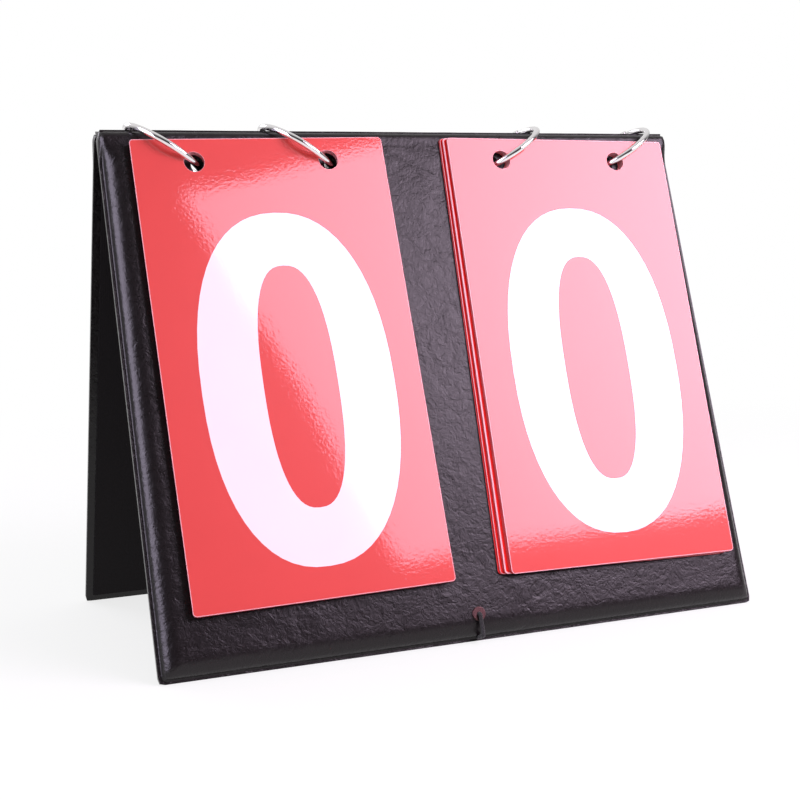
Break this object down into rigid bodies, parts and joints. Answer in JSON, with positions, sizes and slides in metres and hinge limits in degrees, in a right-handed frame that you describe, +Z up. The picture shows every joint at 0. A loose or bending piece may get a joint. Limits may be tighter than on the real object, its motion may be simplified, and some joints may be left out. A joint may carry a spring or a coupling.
{
  "type": "tabletop flip scoreboard",
  "caption": "Fold-up tabletop scoreboard: padded leatherette A-frame with number cards that flip over on binder rings.",
  "frame": {"origin": "on the table under the fold line, midway between the feet", "axes": "+X to the reader's right, -Y towards the reader, +Z up"},
  "size_m": [0.235, 0.1404, 0.1884],
  "materials": {
    "leatherette": "grained black leatherette with a soft sheen",
    "lining": "flat black leatherette",
    "greyboard": "plain grey board",
    "foam": "soft foam",
    "eyelet": "black paint",
    "cord": "braided black cord",
    "card": "gloss laminated red",
    "ring_steel": "nickel plated"
  },
  "bodies": {
    "front_panel": {"front_board": "greyboard", "front_cord_end": "cord", "front_cord_eyelet": "eyelet", "front_cover": "leatherette", "front_foam": "foam", "front_lining": "lining", "spine_strip": "leatherette", "stay_cord": "cord", "left_card_9": "card", "right_card_9": "card"},
    "rear_panel": {"rear_board": "greyboard", "rear_cord_end": "cord", "rear_cord_eyelet": "eyelet", "rear_cover": "leatherette", "rear_foam": "foam", "rear_lining": "lining"},
    "left_card_0": {"left_card_0": "card"},
    "left_card_1": {"left_card_1": "card"},
    "left_card_2": {"left_card_2": "card"},
    "left_card_3": {"left_card_3": "card"},
    "left_card_4": {"left_card_4": "card"},
    "left_card_5": {"left_card_5": "card"},
    "left_card_6": {"left_card_6": "card"},
    "left_card_7": {"left_card_7": "card"},
    "left_card_8": {"left_card_8": "card"},
    "right_card_0": {"right_card_0": "card"},
    "right_card_1": {"right_card_1": "card"},
    "right_card_2": {"right_card_2": "card"},
    "right_card_3": {"right_card_3": "card"},
    "right_card_4": {"right_card_4": "card"},
    "right_card_5": {"right_card_5": "card"},
    "right_card_6": {"right_card_6": "card"},
    "right_card_7": {"right_card_7": "card"},
    "right_card_8": {"right_card_8": "card"},
    "ring_1": {"ring_1_front_half": "ring_steel", "ring_1_pin": "ring_steel", "ring_1_rear_half": "ring_steel"},
    "ring_2": {"ring_2_front_half": "ring_steel", "ring_2_pin": "ring_steel", "ring_2_rear_half": "ring_steel"},
    "ring_3": {"ring_3_front_half": "ring_steel", "ring_3_pin": "ring_steel", "ring_3_rear_half": "ring_steel"},
    "ring_4": {"ring_4_front_half": "ring_steel", "ring_4_pin": "ring_steel", "ring_4_rear_half": "ring_steel"}
  },
  "joints": [
    {"name": "rear_panel_fold", "type": "hinge", "parent": "front_panel", "child": "rear_panel", "pos_m": [0, 0, 0.1847], "axis": [1, 0, 0], "range_deg": [-35, 0], "deforming": ["spine_strip", "stay_cord"]},
    {"name": "left_card_8_flip", "type": "hinge", "parent": "front_panel", "child": "left_card_8", "pos_m": [0, 0, 0.2099], "axis": [1, 0, 0], "range_deg": [-322.5, 0]},
    {"name": "left_card_7_flip", "type": "hinge", "parent": "left_card_8", "child": "left_card_7", "pos_m": [0, 0, 0.2099], "axis": [1, 0, 0], "range_deg": [-322.5, 0]},
    {"name": "left_card_6_flip", "type": "hinge", "parent": "left_card_7", "child": "left_card_6", "pos_m": [0, 0, 0.2099], "axis": [1, 0, 0], "range_deg": [-322.5, 0]},
    {"name": "left_card_5_flip", "type": "hinge", "parent": "left_card_6", "child": "left_card_5", "pos_m": [0, 0, 0.2099], "axis": [1, 0, 0], "range_deg": [-322.5, 0]},
    {"name": "left_card_4_flip", "type": "hinge", "parent": "left_card_5", "child": "left_card_4", "pos_m": [0, 0, 0.2099], "axis": [1, 0, 0], "range_deg": [-322.5, 0]},
    {"name": "left_card_3_flip", "type": "hinge", "parent": "left_card_4", "child": "left_card_3", "pos_m": [0, 0, 0.2099], "axis": [1, 0, 0], "range_deg": [-322.5, 0]},
    {"name": "left_card_2_flip", "type": "hinge", "parent": "left_card_3", "child": "left_card_2", "pos_m": [0, 0, 0.2099], "axis": [1, 0, 0], "range_deg": [-322.5, 0]},
    {"name": "left_card_1_flip", "type": "hinge", "parent": "left_card_2", "child": "left_card_1", "pos_m": [0, 0, 0.2099], "axis": [1, 0, 0], "range_deg": [-322.5, 0]},
    {"name": "left_card_0_flip", "type": "hinge", "parent": "left_card_1", "child": "left_card_0", "pos_m": [0, 0, 0.2099], "axis": [1, 0, 0], "range_deg": [-322.5, 0]},
    {"name": "right_card_8_flip", "type": "hinge", "parent": "front_panel", "child": "right_card_8", "pos_m": [0, 0, 0.2099], "axis": [1, 0, 0], "range_deg": [-322.5, 0]},
    {"name": "right_card_7_flip", "type": "hinge", "parent": "right_card_8", "child": "right_card_7", "pos_m": [0, 0, 0.2099], "axis": [1, 0, 0], "range_deg": [-322.5, 0]},
    {"name": "right_card_6_flip", "type": "hinge", "parent": "right_card_7", "child": "right_card_6", "pos_m": [0, 0, 0.2099], "axis": [1, 0, 0], "range_deg": [-322.5, 0]},
    {"name": "right_card_5_flip", "type": "hinge", "parent": "right_card_6", "child": "right_card_5", "pos_m": [0, 0, 0.2099], "axis": [1, 0, 0], "range_deg": [-322.5, 0]},
    {"name": "right_card_4_flip", "type": "hinge", "parent": "right_card_5", "child": "right_card_4", "pos_m": [0, 0, 0.2099], "axis": [1, 0, 0], "range_deg": [-322.5, 0]},
    {"name": "right_card_3_flip", "type": "hinge", "parent": "right_card_4", "child": "right_card_3", "pos_m": [0, 0, 0.2099], "axis": [1, 0, 0], "range_deg": [-322.5, 0]},
    {"name": "right_card_2_flip", "type": "hinge", "parent": "right_card_3", "child": "right_card_2", "pos_m": [0, 0, 0.2099], "axis": [1, 0, 0], "range_deg": [-322.5, 0]},
    {"name": "right_card_1_flip", "type": "hinge", "parent": "right_card_2", "child": "right_card_1", "pos_m": [0, 0, 0.2099], "axis": [1, 0, 0], "range_deg": [-322.5, 0]},
    {"name": "right_card_0_flip", "type": "hinge", "parent": "right_card_1", "child": "right_card_0", "pos_m": [0, 0, 0.2099], "axis": [1, 0, 0], "range_deg": [-322.5, 0]},
    {"name": "ring_1_spin", "type": "hinge", "parent": "front_panel", "child": "ring_1", "pos_m": [-0.09283, 0, 0.17876], "axis": [0.5462, 0, 0.8377], "range_deg": [-60, 0]},
    {"name": "ring_2_spin", "type": "hinge", "parent": "front_panel", "child": "ring_2", "pos_m": [-0.04183, 0, 0.17876], "axis": [0.5462, 0, 0.8377], "range_deg": [-60, 0]},
    {"name": "ring_3_spin", "type": "hinge", "parent": "front_panel", "child": "ring_3", "pos_m": [0.04518, 0, 0.17876], "axis": [0.5462, 0, -0.8377], "range_deg": [-60, 0]},
    {"name": "ring_4_spin", "type": "hinge", "parent": "front_panel", "child": "ring_4", "pos_m": [0.09618, 0, 0.17876], "axis": [0.5462, 0, -0.8377], "range_deg": [-60, 0]}
  ]
}
